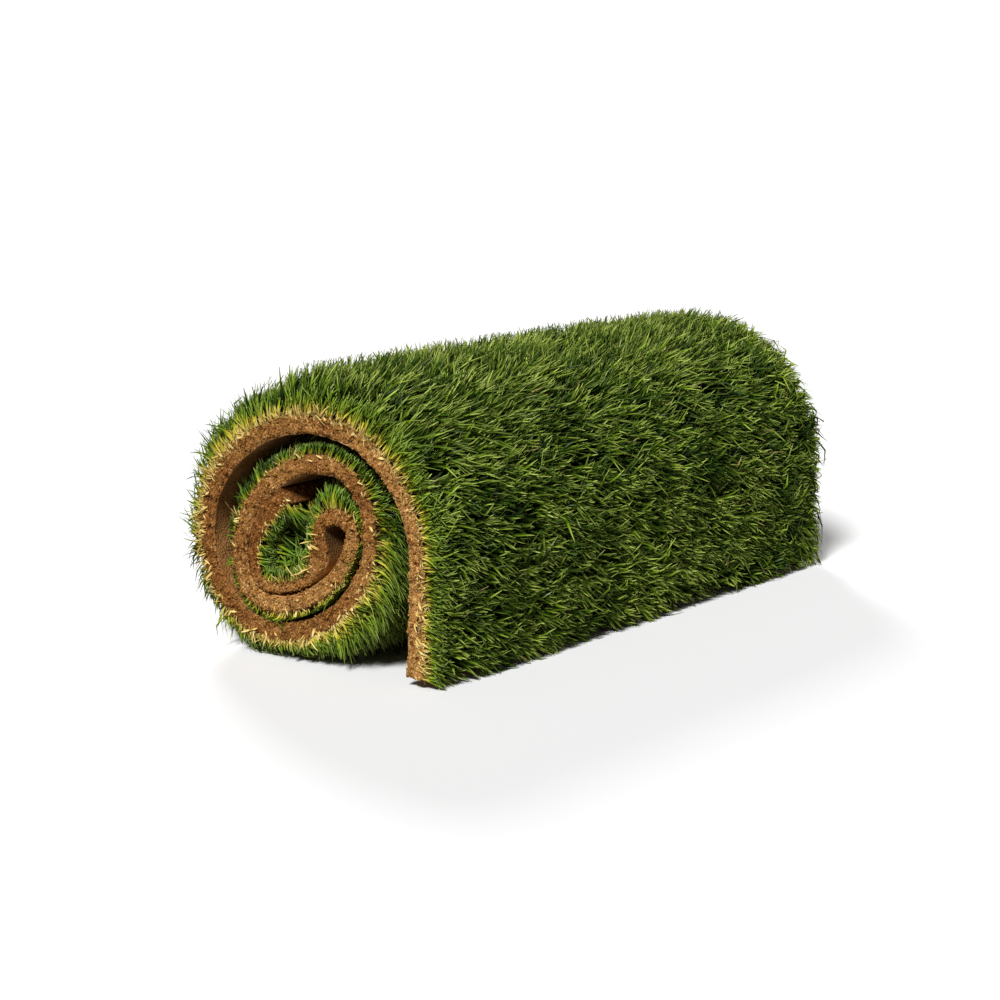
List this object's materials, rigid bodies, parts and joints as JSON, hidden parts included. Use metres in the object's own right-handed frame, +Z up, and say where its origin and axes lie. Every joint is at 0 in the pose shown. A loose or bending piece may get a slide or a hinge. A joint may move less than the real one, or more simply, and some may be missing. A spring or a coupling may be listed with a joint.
{
  "type": "roll of turf",
  "caption": "Loose roll of natural lawn turf, grass outside and soil inside, its spiral of soil showing on both ends, its inner end bent back in the middle and its loose end hanging down beside it.",
  "frame": {"origin": "on the floor under the middle of the roll's overall box", "axes": "+Y along the roll, away from the end that shows its spiral in the picture; +X to the side where the loose end hangs down; +Z up"},
  "size_m": [0.288, 0.61, 0.2524],
  "materials": {
    "soil": "dry crumbly brown soil bound with straw-coloured roots, matte",
    "grass": "living lawn grass, satin green blades with straw-yellow bases"
  },
  "bodies": {
    "root": {"soil": "soil", "grass": "grass"}
  },
  "joints": []
}
